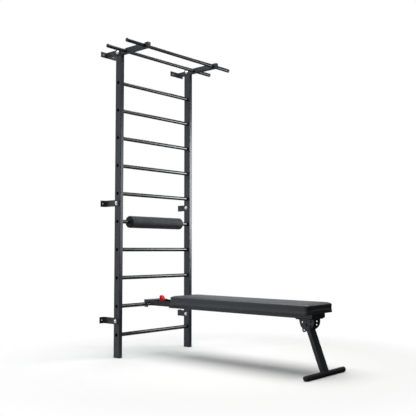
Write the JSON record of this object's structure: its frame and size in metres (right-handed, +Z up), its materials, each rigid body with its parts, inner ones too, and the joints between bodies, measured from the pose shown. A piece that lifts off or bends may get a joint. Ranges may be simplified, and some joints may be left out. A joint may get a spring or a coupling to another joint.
{
  "type": "wall bars",
  "caption": "Steel wall bars with a pull-up frame, a turning foam roller and a padded bench that hooks on a rung and stands on a folding leg.",
  "frame": {"origin": "on the floor, in the middle of the width and midway between the wall and the front of the foot bar", "axes": "+X along the rungs, +Y towards the wall, +Z up"},
  "size_m": [1.08, 1.615, 2.2],
  "materials": {
    "black_steel": "satin black powder coat",
    "zinc": "satin zinc plate",
    "black_plastic": "matte",
    "grey_foam": "matte foam with a fine skin",
    "black_vinyl": "matte grained vinyl",
    "red_plastic": "gloss",
    "plywood": "matte"
  },
  "bodies": {
    "frame": {"upright_left": "black_steel", "upright_right": "black_steel", "rung_01": "black_steel", "rung_02": "black_steel", "rung_03": "black_steel", "rung_04": "black_steel", "rung_05": "black_steel", "rung_06": "black_steel", "rung_07": "black_steel", "rung_08": "black_steel", "rung_09": "black_steel", "rung_10": "black_steel", "pull_up_arm_left": "black_steel", "pull_up_arm_right": "black_steel", "pull_up_bar_front": "black_steel", "pull_up_bar_rear": "black_steel", "wall_bracket_top_left": "black_steel", "wall_bracket_top_right": "black_steel", "wall_bracket_middle_left": "black_steel", "wall_bracket_middle_right": "black_steel", "wall_bracket_low_left": "black_steel", "wall_bracket_low_right": "black_steel", "spigot_screw_left_1": "black_steel", "spigot_screw_left_2": "black_steel", "spigot_screw_right_1": "black_steel", "spigot_screw_right_2": "black_steel", "bracket_bolt_top_left": "zinc", "bracket_bolt_top_right": "zinc", "bracket_bolt_middle_left": "zinc", "bracket_bolt_middle_right": "zinc", "bracket_bolt_low_left": "zinc", "bracket_bolt_low_right": "zinc", "upright_foot_plug_left": "black_plastic", "upright_foot_plug_right": "black_plastic", "arm_end_plug_left": "black_plastic", "arm_end_plug_right": "black_plastic", "bar_cap_front_left": "black_plastic", "bar_cap_front_right": "black_plastic", "bar_cap_rear_left": "black_plastic", "bar_cap_rear_right": "black_plastic"},
    "roller": {"roller_core": "black_plastic", "roller_foam": "grey_foam"},
    "bench": {"bench_hook_channel": "black_steel", "bench_rail_left": "black_steel", "bench_rail_right": "black_steel", "bench_cross_tube": "black_steel", "pad_board": "plywood", "pad_cushion": "black_vinyl", "leg_mount_plate": "black_steel", "leg_plate_left": "black_steel", "leg_plate_right": "black_steel", "leg_pivot_bolt": "black_steel", "leg_stop_bolt": "black_steel"},
    "latch": {"latch_slide": "black_steel", "latch_grip": "red_plastic"},
    "leg": {"leg_tube": "black_steel", "foot_bar": "black_steel", "foot_cap_left": "black_plastic", "foot_cap_right": "black_plastic"}
  },
  "joints": [
    {"name": "roller_spin", "type": "hinge", "parent": "frame", "child": "roller", "pos_m": [0, 0.6755, 0.96], "axis": [1, 0, 0], "continuous": true},
    {"name": "bench_tilt", "type": "hinge", "parent": "frame", "child": "bench", "pos_m": [0, 0.6755, 0.36], "axis": [-1, 0, 0], "range_deg": [0, 70]},
    {"name": "latch_pull", "type": "slide", "parent": "bench", "child": "latch", "axis": [0, -1, 0], "range_m": [0, 0.023]},
    {"name": "leg_fold", "type": "hinge", "parent": "bench", "child": "leg", "pos_m": [0, -0.6815, 0.302], "axis": [1, 0, 0], "range_deg": [0, 108]}
  ]
}
